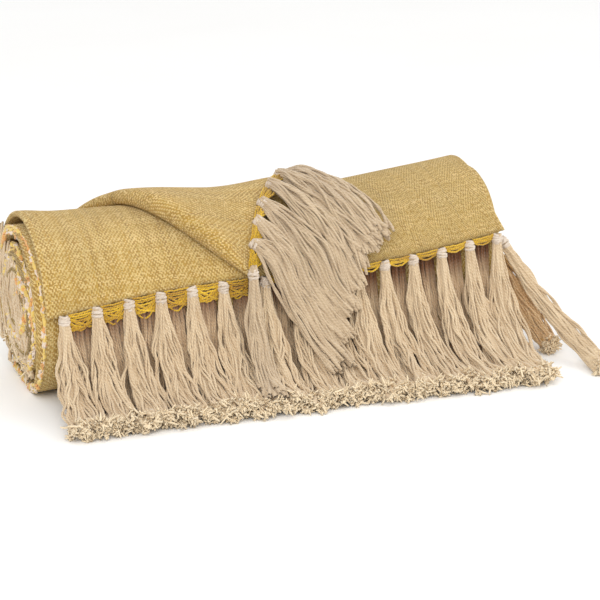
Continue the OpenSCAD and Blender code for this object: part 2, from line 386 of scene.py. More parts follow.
def weave(name, warp, weft):
    """A zigzag twill of two yarns, each with a dark and a light colour.

    UVs are millimetres / 100 across and along the cloth.
    """
    n = Nodes(name)
    u, v = n.uv()
    drift = n.noise(n.position(), 55.0)
    a = n.math("ADD", n.math("MULTIPLY", u, 100 / WARP_STEP), n.math("MULTIPLY", drift, 1.1))
    b = n.math("ADD", n.math("MULTIPLY", v, 100 / WEFT_STEP), n.math("MULTIPLY", drift, 0.9))
    column, row = n.math("FLOOR", a), n.math("FLOOR", b)
    zigzag = n.math("MULTIPLY", n.math("PINGPONG", column, ZIGZAG), 2.0)
    step = n.math("FRACT", n.math("DIVIDE", n.math("ADD", zigzag, row), SHAFTS))
    slipped = n.math("LESS_THAN", n.white(n.vector(column, row)), SLIPS)
    over = n.math("ABSOLUTE", n.math("SUBTRACT", n.math("LESS_THAN", step, WARP_SHARE), slipped))
    round_a, round_b = (n.math("SINE", n.math("MULTIPLY", n.math("FRACT", c), math.pi)) for c in (a, b))
    crown = n.math("MULTIPLY", round_a, round_b)
    n.bump(n.math("ADD", crown, n.math("MULTIPLY", over, 0.35)), 0.0007)
    warp_tone = n.white(n.vector(column, 3.7))
    weft_tone = n.white(n.vector(row, 9.1))
    warp_colour = n.mix(warp_tone, colour(*warp[0]), colour(*warp[1]))
    weft_colour = n.mix(weft_tone, colour(*weft[0]), colour(*weft[1]))
    shade = n.math("MULTIPLY_ADD", crown, 0.28, 0.84)
    cloudy = n.math("MULTIPLY_ADD", n.noise(n.position(), 22.0), 0.3, 0.86)
    tint = n.tree.nodes.new("ShaderNodeVectorMath")
    tint.operation = "SCALE"
    n.put(tint.inputs[0], n.mix(over, weft_colour, warp_colour))
    n.put(tint.inputs["Scale"], n.math("MULTIPLY", shade, cloudy))
    return n.finish(tint.outputs[0])


FLUFF = (244, 224, 188)           # the cut ends, marked by a tone over 1; lighter than the yarn: painted light where they catch the light
ROOT_LENGTH = 24.0                # millimetres over which a root colour, a painted shadow, fades


def yarn(name, dark, light, ply=3.2, root=None):
    """Two-ply yarn that twists once in ply millimetres; root is the colour of its first centimetres, a
    painted shadow.

    UVs run round the strand and, in millimetres / 100, along it.
    """
    n = Nodes(name, sheen=0.35)
    u, v = n.uv()
    tone = n.attribute("tone")
    twist = n.math("ADD", n.math("MULTIPLY", v, 100 / ply), n.math("MULTIPLY", u, 2.0))
    twist = n.math("ADD", twist, n.math("MULTIPLY", tone, 7.3))
    ridge = n.math("ABSOLUTE", n.math("SINE", n.math("MULTIPLY", twist, math.pi)))
    fuzz = n.noise(n.position(), 900.0, 3.0)
    patch = n.noise(n.position(), 60.0)
    # painted shade: the twist's ridges lighten the colour and its grooves darken it; fuzz, tone and patch
    # vary it at random
    amount = n.math("ADD", n.math("MULTIPLY", ridge, 0.35), n.math("MULTIPLY", fuzz, 0.3))
    amount = n.math("ADD", amount, n.math("MULTIPLY", tone, 0.35))
    amount = n.math("ADD", amount, n.math("MULTIPLY", n.math("SUBTRACT", patch, 0.5), 0.7))
    n.bump(n.math("ADD", ridge, n.math("MULTIPLY", fuzz, 0.6)), 0.0003)
    base = n.mix(amount, colour(*dark), colour(*light))
    if root:
        # painted shadow: the strand is darker at its top and fades to its own colour over ROOT_LENGTH
        base = n.mix(n.math("MULTIPLY_ADD", v, 100 / ROOT_LENGTH, -0.3), colour(*root), base)
    # painted light: the cut ends are mixed towards the lighter FLUFF colour
    fluff = n.mix(n.math("MULTIPLY_ADD", fuzz, 0.8, 0.3), colour(*light), colour(*FLUFF))
    return n.finish(n.mix(n.math("GREATER_THAN", tone, 1.0), base, fluff))


MUSTARD = ((184, 140, 54), (208, 164, 68))
CREAM = ((222, 190, 112), (242, 212, 142))
CLOTH_FACE = weave("mustard_twill", MUSTARD, CREAM)
CLOTH_BACK = weave("mustard_twill_reverse", MUSTARD, CREAM)
CREAM_YARN = yarn("cream_yarn", (186, 158, 122), (220, 198, 164))
# a darker copy of the cream yarn: painted shade on the inner tassels and the core fringe, with a painted
# shadow at the tassels' tops
SHADE_YARN = yarn("cream_yarn_inner_painted_shade", (182, 148, 110), (218, 192, 156), root=(112, 70, 36))
CORNER_YARN = yarn("cream_yarn_corner", (172, 148, 118), (206, 184, 152))
# a darker, browner copy of the cream yarn: painted shade on the short end tassel, with a painted shadow at
# its top
PAINTED_SHADE_YARN = yarn("cream_yarn_shaded", (186, 146, 98), (216, 184, 140), root=(172, 134, 76))
KNOT_YARN = yarn("knot_yarn", (190, 172, 152), (220, 206, 190))
GOLD_YARN = yarn("golden_yarn", (138, 80, 14), (236, 196, 38), ply=2.4)


def edge_yarn_material():
    """Yarn along the side edges: mustard, with patches of orange and cream."""
    n = Nodes("side_edge_yarn", sheen=0.3)
    patch = n.noise(n.position(), 150.0, 1.0)
    other = n.noise(n.position(), 110.0, 0.0)
    base = n.mix(n.math("GREATER_THAN", patch, 0.47), colour(220, 200, 182), colour(222, 186, 66))
    base = n.mix(n.math("GREATER_THAN", other, 0.62), base, colour(220, 148, 44))
    shade = n.noise(n.position(), 600.0)
    n.bump(shade, 0.0008)
    return n.finish(n.mix(n.math("MULTIPLY", shade, 0.4), base, colour(236, 218, 186)))


EDGE_YARN = edge_yarn_material()


SELVEDGE_LOOP = 2.1               # millimetres from one turned-back yarn to the next


def selvedge_material():
    """The side edges of the cloth, where gold and cream weft yarns turn back."""
    n = Nodes("selvedge")
    loops = [n.math("FLOOR", n.math("MULTIPLY", c, 100 / SELVEDGE_LOOP)) for c in n.uv()]
    speck = n.white(n.vector(*loops))
    base = n.mix(n.math("GREATER_THAN", speck, 0.45), colour(214, 158, 34), colour(240, 226, 196))
    base = n.mix(n.math("GREATER_THAN", speck, 0.88), base, colour(120, 84, 34))
    n.bump(n.noise(n.position(), 500.0), 0.0006)
    return n.finish(base)


SELVEDGE = selvedge_material()


# ---- cloth ----
def add_thickness(obj, rim=True):
    """Gives a sheet its thickness, with the selvedge material on its rim."""
    obj.data.materials.append(SELVEDGE)
    solid = obj.modifiers.new("thickness", "SOLIDIFY")
    solid.thickness = CLOTH * MM
    solid.offset = 0
    solid.use_even_offset = False
    solid.material_offset_rim = 1 if rim else 0
    with bpy.context.temp_override(object=obj, active_object=obj):
        bpy.ops.object.modifier_apply(modifier=solid.name)


def zigzag_columns(steps):
    """Across the folded stack: base third leftwards, a fold, middle third rightwards, a fold, top third.

    Gives each point's share of the way from the left edge to the right one, its layer, which is 0 for
    the top third and 2 for the base third, and its distance along the cloth in millimetres.
    """
    share, layer, dist = [], [], []
    run = 0.0
    fold = np.pi * LAYER / 2
    for third, backwards in ((2, True), (1, False), (0, True)):
        share.append(np.linspace(1, 0, steps) if backwards else np.linspace(0, 1, steps))
        layer.append(np.full(steps, float(third)))
        dist.append(run + np.linspace(0, ROLL_LEN, steps))
        run += ROLL_LEN
        if third:
            turn = np.linspace(0, np.pi, 6)[1:-1]
            out = np.sin(turn) * LAYER / 2 / ROLL_LEN
            share.append(-out if backwards else 1 + out)
            layer.append(third - 0.5 + np.cos(turn) / 2)
            dist.append(run + fold * turn / np.pi)
            run += fold
    return np.concatenate(share), np.concatenate(layer), np.concatenate(dist)


def end_wander(phi, layer):
    """How far a layer's side edge stands in or out at the roll's ends."""
    p = np.radians(phi)
    uneven = 1.6 * np.sin(1.7 * p + 2 * layer) + 1.1 * np.sin(0.61 * p + 1.1 * layer + 1)
    return uneven * ramp(phi, 100, 250) + 5.5 * smooth(phi, 190, 330)


def stack_x(left, right, share, wander):
    """x across the folded stack, whose edges and folds at the roll's two ends wander."""
    near_end = smooth(abs(share - 0.5), 0.44, 0.5)
    return between(left, right, share) + wander * near_end * np.sign(share - 0.5)


def back_crease_x(phi):
    """Where the turned corner's crease lies behind the bend."""
    return between(float(crease_x(BEND_ARC)), -HALF, ramp(phi, HINGE_PHI, FLAP_END_PHI))


def rolled_cloth():
    """All three thirds of the rolled part, one sheet folded at both ends of the roll."""
    share, layer, dist = zigzag_columns(34)
    phi = np.arange(PART_PHI, CORE_PHI + 1, 4.0)[:, None]
    left = np.where(layer == 0, back_crease_x(phi), -HALF)
    x = stack_x(left, HALF, share, end_wander(phi, layer))
    grid = place(x, phi, spiral_depth(phi) + layer * LAYER + CLOTH / 2)
    step = np.linalg.norm(np.diff(grid, axis=0), axis=2)
    run = np.concatenate([np.zeros((1, len(dist))), np.cumsum(step, axis=0)])
    uv = np.stack([np.broadcast_to(dist, x.shape), run], -1).reshape(-1, 2) / 100
    obj = mesh_object("rolled_cloth", grid.reshape(-1, 3), grid_faces(*x.shape), uv, CLOTH_FACE)
    add_thickness(obj)
    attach(obj, "roll")
    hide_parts("rolled_top_third", "rolled_middle_third", "rolled_base_third")


def scallop(x):
    """The free edge rises a little between knots."""
    return 1.2 * np.abs(np.sin(np.pi * (x - LEFT_ROW) / PITCH))


CREASE_LAP = 4.0                  # the cloth under the turned corner ends this far inside the crease
MEAN_RADIUS = 83.0                # for the weave's scale along the free end


def free_cloth():
    """The free end of all three thirds, from the free edge to just behind the bend."""
    share, layer, dist = zigzag_columns(60)
    row = np.linspace(0, 1, 44)[:, None]
    arc = row * arc_at(0, PART_PHI)
    behind = back_crease_x(between(edge_phi(0), PART_PHI, row))
    crease = np.where(arc < BEND_ARC, crease_x(arc), behind) + CREASE_LAP
    left = np.where(layer == 0, crease, -HALF)
    wander = end_wander(row * 200, layer) * (layer > 0)
    x = stack_x(left, right_edge_x(arc), share, wander)
    low = edge_phi(x) + np.degrees(scallop(x) / half_height(x))
    phi = between(low, PART_PHI, row)
    depth = layer * LAYER + CLOTH / 2
    points = place(x, phi, depth).reshape(-1, 3)
    run = np.radians(phi) * (MEAN_RADIUS - depth)
    uv = np.stack([np.broadcast_to(dist, phi.shape), run], -1).reshape(-1, 2) / 100
    obj = mesh_object("free_cloth", points, grid_faces(*phi.shape), uv, CLOTH_FACE)
    add_thickness(obj, rim=False)
    bend(obj)
    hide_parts("free_top_third", "free_middle_third", "free_base_third")


def bend(obj):
    """Bakes the piece's placement into its mesh; it is not bent, nor put on a body."""
    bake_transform(obj)


FLAP_GAP = 0.4                    # between the turned corner and the cloth it lies on
FLAP_TURN = 5.0                   # its crease starts to turn this far inside its outline
LIP_POINTS, TURN_POINTS, TOP_POINTS = 8, 8, 30
FOLD_POINTS = LIP_POINTS + TURN_POINTS


def corner_rise(arc):
    """The fringed edge of the corner stands off the roll where it goes over the top."""
    return 3.5 * smooth(arc, 65, 115) * (1 - smooth(arc, 128, 160))


def flap_section(arc, x_crease, x_edge):
    """x and depth across the turned corner: a lip under it, round the crease, and out to its edge."""
    lip = np.linspace(1, 0, LIP_POINTS)
    turn = np.linspace(0, np.pi, TURN_POINTS + 2)[1:-1]
    top = np.linspace(0, 1, TOP_POINTS)
    wide = max(x_edge - x_crease, 3.0)
    puff = PUFF * smooth(wide, 2, 45) * (1 - 0.55 * smooth(arc, 70, 140))
    fold_r = (CLOTH + FLAP_GAP + puff) / 2
    start = x_crease + FLAP_TURN
    x = np.concatenate([start + min(22, wide * 0.6) * lip,
                        start - fold_r * 1.5 * np.sin(turn),
                        start + (wide - FLAP_TURN) * top])
    upper = between(CLOTH / 2 - 2 * fold_r, -FLAP_GAP - CLOTH / 2, smooth(top, 0, 0.85))
    depth = np.concatenate([np.full(LIP_POINTS, CLOTH / 2),
                            CLOTH / 2 - fold_r * (1 - np.cos(turn)),
                            upper - corner_rise(arc) * smooth(top, 0.5, 1)])
    return x, depth


def flap_grid(arcs):
    """x, angle and depth of the turned corner's points, over rows of arc."""
    end_arc = arc_at(-HALF, FLAP_END_PHI)
    rows = []
    for arc in arcs:
        left, right = crease_x(arc), corner_edge_x(arc)
        if arc >= BEND_ARC:
            left = between(crease_x(BEND_ARC), -HALF, ramp(arc, BEND_ARC, end_arc))
        if arc >= CORNER_ARC:
            right = between(corner_edge_x(CORNER_ARC), -HALF + 1, ramp(arc, CORNER_ARC, end_arc))
        x, depth = flap_section(arc, left, max(right, left + 3))
        rows.append((x, phi_at(x, arc), depth))
    return np.array(rows).transpose(1, 0, 2)


def flap_piece(name, arcs):
    """A stretch of the turned corner. Its weave is unrolled about the crease, so that it isn't sheared."""
    x, phi, depth = flap_grid(arcs)
    grid = place(x, phi, depth)
    step = np.linalg.norm(np.diff(grid, axis=1), axis=2)
    run = np.concatenate([np.zeros((len(x), 1)), np.cumsum(step, axis=1)], axis=1)
    run -= run[:, FOLD_POINTS:FOLD_POINTS + 1]
    flat, fold = np.maximum(run, 0), np.minimum(run, 0)
    start = x[:, FOLD_POINTS:FOLD_POINTS + 1]
    slope = np.gradient(start[:, 0], arcs)[:, None]
    square = fold / np.sqrt(1 + slope ** 2)
    uv = np.stack([arcs[:, None] - slope * square, start + flat + square], -1).reshape(-1, 2) / 100
    obj = mesh_object(name, grid.reshape(-1, 3), grid_faces(*x.shape), uv, CLOTH_BACK)
    add_thickness(obj)
    return obj


def turned_corner():
    """The corner of the top third, folded over along a soft crease."""
    part, end = (float(arc_at(x, phi)) for x, phi in ((0, CORNER_PART_PHI), (-HALF, FLAP_END_PHI)))
    front = flap_piece("turned_corner_cloth", np.linspace(FLAP_FOOT, part, 40))
    bend(front)
    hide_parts("turned_corner")
    back = flap_piece("turned_corner_back_cloth", np.linspace(part, end, 44))
    bend(back)
    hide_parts("turned_corner_back")


# ---- fringe ----
STEPS = 34                        # points along a strand
SHARE = np.linspace(0, 1, STEPS)
LOCK = 3                          # yarns that lie together
INNER = 4                         # yarns that one soft inner yarn stands for
STRAND = 1.05                     # radius of a strand
ALONG_ROLL = (1, 0.05, 0.02)      # where a strand's ring of points starts
FLOOR_CLEAR = 2.2                 # least height of a strand's middle line


def bezier(p, t):
    t = np.asarray(t, float)[..., None]
    return p[0] * (1 - t) ** 3 + 3 * p[1] * t * (1 - t) ** 2 + 3 * p[2] * t * t * (1 - t) + p[3] * t ** 3


def fringe_end_y(x):
    """Where the front fringe ends on the floor."""
    return between(-147.0, -186.0, along(x))


def hanging_curve(x, end_y, end_z, depth):
    """The four guide points of the curve from the free edge down to the floor and out along it."""
    edge = place(x, edge_phi(x), depth)
    return np.array([edge, edge + [0, -7, -0.5 * edge[2]],
                     [x, between(edge[1], end_y, 0.36), end_z + 4], [x, end_y, end_z]])


def curve_out(p, t):
    """The outward side of a hanging curve."""
    d = bezier(p, np.minimum(1, t + 0.02)) - bezier(p, np.maximum(0, t - 0.02))
    d /= np.linalg.norm(d, axis=-1, keepdims=True)
    return np.stack([np.zeros_like(d[..., 0]), d[..., 2], -d[..., 1]], -1)


def spots(count, rng):
    """Places in a round bundle, as (across, outwards), evenly spread by the golden angle."""
    k = np.arange(count) + 0.5
    r, a = np.sqrt(k / count), k * 2.39996 + rng.random() * 6
    return r * np.cos(a), r * np.sin(a)


def wiggle(count, rng, size):
    """Wanderings of each strand along its length, which grow from its top."""
    out = np.zeros((count, STEPS))
    for w in (0.8, 1.7, 2.9, 4.6):
        phase = rng.random((count, 1)) * 2 * np.pi
        swing = rng.normal(0, 1, (count, 1)) / w ** 0.8
        out += swing * np.sin(2 * np.pi * w * SHARE + phase)
    return out * size * smooth(SHARE, 0, 0.45)


def bundle_offsets(count, rng, wide, thick, loose=1.3):
    """Across and outward offsets of the strands of one tassel: yarns lie in small twisted locks."""
    locks = -(-count // LOCK)
    a, b = spots(locks, rng)
    turns = rng.uniform(1.5, 3.5, (locks, 1)) * rng.choice([-1, 1], (locks, 1))
    across = a[:, None] * wide + wiggle(locks, rng, loose * 1.3)
    out = b[:, None] * thick + wiggle(locks, rng, loose * 0.55)
    pick = np.arange(count) // LOCK
    phase = (np.arange(count) % LOCK)[:, None] * 2 * np.pi / LOCK + rng.random((locks, 1))[pick] * 6
    angle = 2 * np.pi * turns[pick] * SHARE + phase
    size = np.interp(SHARE, [0, 0.1, 0.5, 1], [0.6, 0.9, 1.35, 1.6])
    return (across[pick] + np.cos(angle) * size + wiggle(count, rng, loose * 0.4),
            out[pick] + np.sin(angle) * size * 0.7 + wiggle(count, rng, loose * 0.2))


def fluffy_ends(paths, rng, tufts):
    """The cut end of each yarn opens into a few soft curled tufts, whose tone of 1 to 2 marks them."""
    count = len(paths) * tufts
    heading = paths[:, -1] - paths[:, -3]
    heading /= np.linalg.norm(heading, axis=1, keepdims=True)
    way = np.repeat(heading, tufts, 0) + rng.normal(0, 0.75, (count, 3))
    way /= np.linalg.norm(way, axis=1, keepdims=True)
    start = np.repeat(paths[:, -1], tufts, 0) - way * 1.5 + rng.normal(0, 1.3, (count, 3))
    t = np.linspace(0, 1, 5)[None, :, None]
    size = 3.8 * rng.uniform(0.3, 1, (count, 1, 1))
    curl = rng.normal(0, 2.4, (count, 1, 3)) * t ** 2
    paths = start[:, None] + way[:, None] * t * size + curl
    paths[..., 2] = np.maximum(paths[..., 2], 1.1)
    radii = np.broadcast_to(np.array([0.85, 1.0, 1.0, 0.9, 0.5]), paths.shape[:2])
    p, f, u, tone = strands(paths, radii, 4, (0.3, 0.5, 0.8), rng)
    return p, f, u, 1 + tone


def strand_radii(count, rng, size):
    """A strand's radius along its length: it swells a little before its cut end."""
    shape = np.interp(SHARE, [0, 0.06, 0.91, 0.96, 1], [0.85, 1, 1, 1.9, 1.2])
    return shape * rng.uniform(0.85, 1.2, (count, 1)) * size


def knot_parts(centre, down, rng, size):
    """A knot: cord wound round the tassel's neck, fuller at its middle."""
    turns, count, steps = 1.2, 5, 26
    down = np.asarray(down) / np.linalg.norm(down)
    side = np.cross(down, [1.0, 0.2, 0.1])
    side /= np.linalg.norm(side)
    other = np.cross(down, side)
    a = np.linspace(0, turns * 2 * np.pi, steps)
    paths = []
    for i in range(count):
        level = (i - (count - 1) / 2) * size * 0.38
        r = size * 0.80 * np.sqrt(max(0.12, 1 - (level / size / 1.12) ** 2))
        tilt = np.sin(a + rng.random() * 6) * size * 0.16
        lap = rng.random() * 6
        bulge = 1 + 0.07 * np.sin(3 * a + lap)
        paths.append(centre + np.outer(np.cos(a + lap) * bulge, side) * r
                     + np.outer(np.sin(a + lap) * bulge, other) * r + np.outer(level + tilt, down))
    return strands(np.array(paths), np.full((count, steps), size * 0.27), 6, tuple(down), rng)


def front_paths(x, end_y, depth, count, wide, thick, rng, drop=0.0, lean=0.0):
    """Strands of one tassel that hangs from the free edge and lies out along the floor.

    With a drop, it starts that far below the edge and isn't lifted off what lies under it.
    """
    curve = hanging_curve(x, end_y, thick[-1] + 1.4, depth) - [0, 0, drop]
    reach = rng.uniform(0.93, 1.0, (count, 1))
    t = SHARE * reach
    spread = np.interp(SHARE, [0, 0.08, 0.2, 0.4, 0.7, 1], wide)
    height = np.interp(SHARE, [0, 0.08, 0.4, 1], thick)
    across, lift = bundle_offsets(count, rng, spread, height)
    core = bezier(curve, t) + curve_out(curve, t) * (lift + (0 if drop else 1.5))[..., None]
    core[..., 0] += across + lean * SHARE
    curl = ramp(SHARE, 0.86, 1) ** 2
    core += rng.normal(0, 2.2, (count, 1, 3)) * curl[None, :, None]
    core[..., 2] = np.maximum(core[..., 2], FLOOR_CLEAR)
    return core


# Half widths and half thicknesses along a tassel, and numbers of yarns
FRONT_WIDE = (3.3, 3.7, 6.0, 10.6, 14.8, 16.8)
NARROW = (3.3, 3.6, 4.6, 6.4, 9.0, 11.5)
FRONT_THICK = (3.2, 3.4, 4.4, 5.0)
UNDER_WIDE = (9.5, 9.5, 10.0, 11.0, 13.5, 14.5)
UNDER_THICK = (2.6, 2.8, 3.2, 3.6)
FRONT_YARNS, UNDER_YARNS, CORNER_YARNS, END_YARNS = 48, 40, 54, 48
UNDER_DEPTH = 7.0                 # the inner thirds' tassels start this deep in the stack
UNDER_DROP = 6.0                  # and this far below the edge
UNDER_BACK = 22.0                 # and end this far behind the front ones


def inner_yarns(paths, rng, puffed):
    """Thicker soft yarns that fill the middle of a tassel; puffed ones end in fluff."""
    groups = len(paths) // INNER
    middle = paths[:groups * INNER].reshape(groups, INNER, STEPS, 3).mean(1)
    centre = paths.mean(0)
    middle = centre + (middle - centre) * 0.78
    size = np.interp(SHARE, [0, 0.1, 0.4, 0.93, 1], [0.9, 1.1, 1.5, 1.9, 1.5])
    middle[..., 2] = np.maximum(middle[..., 2], FLOOR_CLEAR)
    parts = [strands(middle, np.broadcast_to(size, (groups, STEPS)), 6, ALONG_ROLL, rng)]
    if puffed:
        puffs = middle[:, -5:] + rng.normal(0, 0.8, (groups, 5, 3))
        puffs[..., 2] = np.maximum(puffs[..., 2], 3.6)
        radii = np.array([1.4, 3.0, 3.6, 3.3, 2.0]) * rng.uniform(0.75, 1.0, (groups, 1))
        p, f, u, tone = strands(puffs, radii, 8, ALONG_ROLL, rng)
        parts.append((p, f, u, 0.6 + 0.35 * tone))
    return joined(parts)


def yarn_piece(obj, body, node=None):
    """Puts a piece of the fringe on its body, in place of a CAD node if it has one."""
    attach(obj, body)
    if node:
        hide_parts(node)


def tassel(name, paths, material, rng, body, node=None, knot=KNOT, tufts=10):
    """A tassel's strands, with their fluffy cut ends, and its knot."""
    parts = [strands(paths, strand_radii(len(paths), rng, STRAND), 6, ALONG_ROLL, rng),
             inner_yarns(paths, rng, tufts > 0)]
    if tufts:
        parts.append(fluffy_ends(paths, rng, tufts))
    p, f, u, tone = joined(parts)
    yarn_piece(mesh_object(name, p, f, u, material, tone), body, node)
    if knot:
        top = paths[:, :3].mean((0, 1))
        way = paths[:, 5].mean(0) - paths[:, 0].mean(0)
        p, f, u, tone = knot_parts(top, way, rng, knot)
        yarn_piece(mesh_object(name + "_knot", p, f, u, KNOT_YARN, tone), body)


def tassel_x(i):
    """x of the front tassels, counted from the left."""
    return LEFT_ROW + PITCH * i if i < LEFT_COUNT else RIGHT_ROW + PITCH * (i - LEFT_COUNT)


def front_fringe():
    """The tassels of the two thirds that lie outermost."""
    for i in range(EDGE_COUNT):
        rng = np.random.default_rng(100 + i)
        name = f"front_tassel_{i + 1}"
        depth = (LAYER if i < LEFT_COUNT else 0) + CLOTH / 2
        x = tassel_x(i)
        end_y = float(fringe_end_y(x)) + rng.normal(0, 1.2)
        lean = -9.0 if i == EDGE_COUNT - 1 else 0.0   # the last one lies slanting
        paths = front_paths(x, end_y, depth, FRONT_YARNS, FRONT_WIDE, FRONT_THICK, rng, lean=lean)
        body = name if name in frame["bodies"] else "free_end"
        tassel(name + "_yarn", paths, CREAM_YARN, rng, body, name)


def under_fringe():
    """Tassels of the inner thirds, seen between the front ones."""
    for i in range(EDGE_COUNT - 1):
        rng = np.random.default_rng(200 + i)
        x = (tassel_x(i) + tassel_x(i + 1)) / 2
        end_y = float(fringe_end_y(x)) + UNDER_BACK
        paths = front_paths(x, end_y, UNDER_DEPTH, UNDER_YARNS, UNDER_WIDE, UNDER_THICK, rng, UNDER_DROP)
        node = "under_tassels" if i == 0 else None
        tassel(f"under_tassel_{i + 1}_yarn", paths, SHADE_YARN, rng, "free_end", node, knot=0, tufts=4)


CORNER_KNOTS = (3, 26, 49, 69, 92, 112, 130)   # up the cloth from the free edge
# x and arc of each cut end: below the free edge, the arc is counted down the front fringe
CORNER_ENDS = ((-40, -120), (32, -94), (44, -66), (55, -40), (66, -18), (80, -2), (94, 11))
CORNER_WIDE = (3.4, 4.6, 9.6, 12.6, 14.5, 13.5)
FRINGE_DROP = 128.0               # length of the front fringe


def over_fringe(x, t, lift):
    """A place lift millimetres over the front fringe, at a share t of the way down it."""
    curve = hanging_curve(x, float(fringe_end_y(x)), 6.0, 0.0)
    return bezier(curve, t) + lift * curve_out(curve, t)


def drape(x, arc, lift):
    """Places in the corner's fringe: arc up the cloth from the free edge, or down the front fringe."""
    up = place(x, phi_at(x, np.maximum(arc, 0)), -lift)
    share = np.maximum(-arc, 0) / FRINGE_DROP
    down = np.array([over_fringe(*spot) for spot in zip(x, share, lift)])
    return np.where((arc >= 0)[:, None], up, down)


def eased(path):
    """The same path with its bends made gentle, in seven passes."""
    for _ in range(7):
        path[1:-1] = path[1:-1] / 2 + (path[:-2] + path[2:]) / 4
    return path


def corner_paths(i, rng):
    """Strands of one tassel that lies over the cloth and the front fringe.

    The first tassel is narrow and the second turns early, which leaves the free edge's knots to be seen.
    """
    start = np.array([float(corner_edge_x(CORNER_KNOTS[i])) + 2.0, CORNER_KNOTS[i]])
    end = np.array(CORNER_ENDS[i], float)
    turn = between(start, end, np.array([0.46, 0.15 if i == 1 else 0.44]))
    wide = np.interp(SHARE, [0, 0.06, 0.2, 0.4, 0.7, 1], CORNER_WIDE if i else NARROW)
    thick = np.interp(SHARE, [0, 0.1, 1], [3.0, 2.4, 2.6])
    across, out = bundle_offsets(CORNER_YARNS, rng, wide, thick, 1.7)
    reach = rng.uniform(0.9, 1.02, CORNER_YARNS)
    paths = []
    for k in range(CORNER_YARNS):
        t = (SHARE * reach[k])[:, None]
        flat = start * (1 - t) ** 2 + 2 * turn * t * (1 - t) + end * t * t
        way = np.gradient(flat, axis=0)
        way /= np.linalg.norm(way, axis=1, keepdims=True)
        flat = flat + np.stack([-way[:, 1], way[:, 0]], -1) * across[k][:, None]
        base = between(8.8, 4.6, ramp(flat[:, 1], 0, 30))
        base = base + corner_rise(CORNER_KNOTS[i]) * (1 - smooth(SHARE, 0, 0.4))
        lift = base * np.interp(SHARE, [0, 0.15], [0.75, 1]) + out[k]
        paths.append(eased(drape(flat[:, 0], flat[:, 1], np.maximum(lift, 1.2))))
    return np.array(paths)


def corner_fringe():
    """The tassels of the turned corner's edge."""
    for i in range(len(CORNER_KNOTS)):
        rng = np.random.default_rng(300 + i)
        name = f"corner_tassel_{i + 1}"
        tassel(name + "_yarn", corner_paths(i, rng), CORNER_YARN, rng, name, name, tufts=0)


# ---- golden yarn along the edges ----
NET_POINTS = 14                   # along one gold thread
GOLD_RADIUS = 0.9
KNOT_CLEAR = 3.5                  # the gold threads end this far from a knot's middle


def netting(a, b, out, rng, deep):
    """Gold weft threads between two knots: a few along the edge, and loops that cross below it.

    A plan's row holds a thread's height at both ends and its sag.
    """
    t = np.linspace(0, 1, NET_POINTS)
    plan = [(1.2, 1.0, 0.3), (-0.6, -0.9, 0.6)]
    if deep > 8:
        plan += [(-2.4, -2.0, 0.8), (-4.2, -4.0, 1.4), (-1.0, -deep, 1.0), (-deep, -1.5, 1.0),
                 (-2.5, -deep * 0.8, 2.0), (-deep * 0.8, -3.0, 2.2), (-deep * 0.5, -deep, 1.0),
                 (-deep, -deep * 0.6, 1.0), (-3.0, -3.0, deep * 0.6), (-5.0, -5.5, deep * 0.8)]
    else:
        plan += [(-2.0, -2.4, 0.5), (-1.5, -1.5, deep * 0.8)]
    paths = []
    for left, right, sag in plan:
        drop = between(left, right, t) - sag * np.sin(np.pi * t) * rng.uniform(0.8, 1.2)
        bow = 1.2 + rng.uniform(0.2, 1.6) * np.sin(np.pi * t)
        line = a + (b - a) * t[:, None] + out * bow[:, None]
        line = line + np.array([0, 0, 1.0]) * drop[:, None]
        paths.append(line + rng.normal(0, 0.25, line.shape))
    return np.array(paths)


def edge_yarn():
    """Gold threads under the free edge, between the knots."""
    for side, first, last in (("left", 0, LEFT_COUNT - 1), ("right", LEFT_COUNT, EDGE_COUNT - 1)):
        rng = np.random.default_rng(400 + first)
        depth, deep = (LAYER + CLOTH / 2, 14.0) if side == "left" else (CLOTH / 2, 5.0)
        paths = []
        spans = [(tassel_x(i) + KNOT_CLEAR, tassel_x(i + 1) - KNOT_CLEAR) for i in range(first, last)]
        if side == "left":
            spans.append((tassel_x(last) + KNOT_CLEAR, float(crease_x(0)) - 1))
        for xa, xb in spans:
            a = place(xa, edge_phi(xa), depth) - [0, 0, 0.5]
            b = place(xb, edge_phi(xb), depth) - [0, 0, 0.5]
            paths.append(netting(a, b, np.array([0, -1.0, 0]), rng, deep))
        paths = np.concatenate(paths)
        p, f, u, tone = strands(paths, np.full(paths.shape[:2], GOLD_RADIUS), 6, (0, 0.2, 1), rng)
        obj = mesh_object(f"edge_yarn_{side}", p, f, u, GOLD_YARN, tone)
        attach(obj, "free_end")
        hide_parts(f"edge_stitching_{side}")


# Each gold thread's distance from the corner's edge at both ends, and its bow
CORNER_NET = ((-0.6, -0.4, 0.4), (0.8, 1.0, 0.8), (2.0, 2.2, 1.2), (0.5, 7.0, 1.0), (7.0, 0.5, 1.0),
              (2.5, 3.0, 5.0), (3.0, 2.5, 6.5), (3.0, 4.0, 9.5), (4.0, 3.0, 12.0), (1.0, 9.0, 2.0))


def corner_yarn():
    """Gold threads along the turned corner's edge, between its knots."""
    rng = np.random.default_rng(450)
    paths = []
    t = np.linspace(0, 1, NET_POINTS)
    for low, high in zip(CORNER_KNOTS[:-1], CORNER_KNOTS[1:]):
        arc = between(low + 3.0, high - 3.0, t)
        for first, last, bow in CORNER_NET:
            x = corner_edge_x(arc) + between(first, last, t) + bow * np.sin(np.pi * t)
            lift = CLOTH + FLAP_GAP + corner_rise(arc) + rng.uniform(0, 1.4) * np.sin(np.pi * t)
            paths.append(place(x, phi_at(x, arc), -lift) + rng.normal(0, 0.25, (NET_POINTS, 3)))
    paths = np.array(paths)
    p, f, u, tone = strands(paths, np.full(paths.shape[:2], GOLD_RADIUS), 6, (1, 0, 0.2), rng)
    obj = mesh_object("corner_yarn", p, f, u, GOLD_YARN, tone)
    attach(obj, "turned_corner")
    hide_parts("corner_stitching")


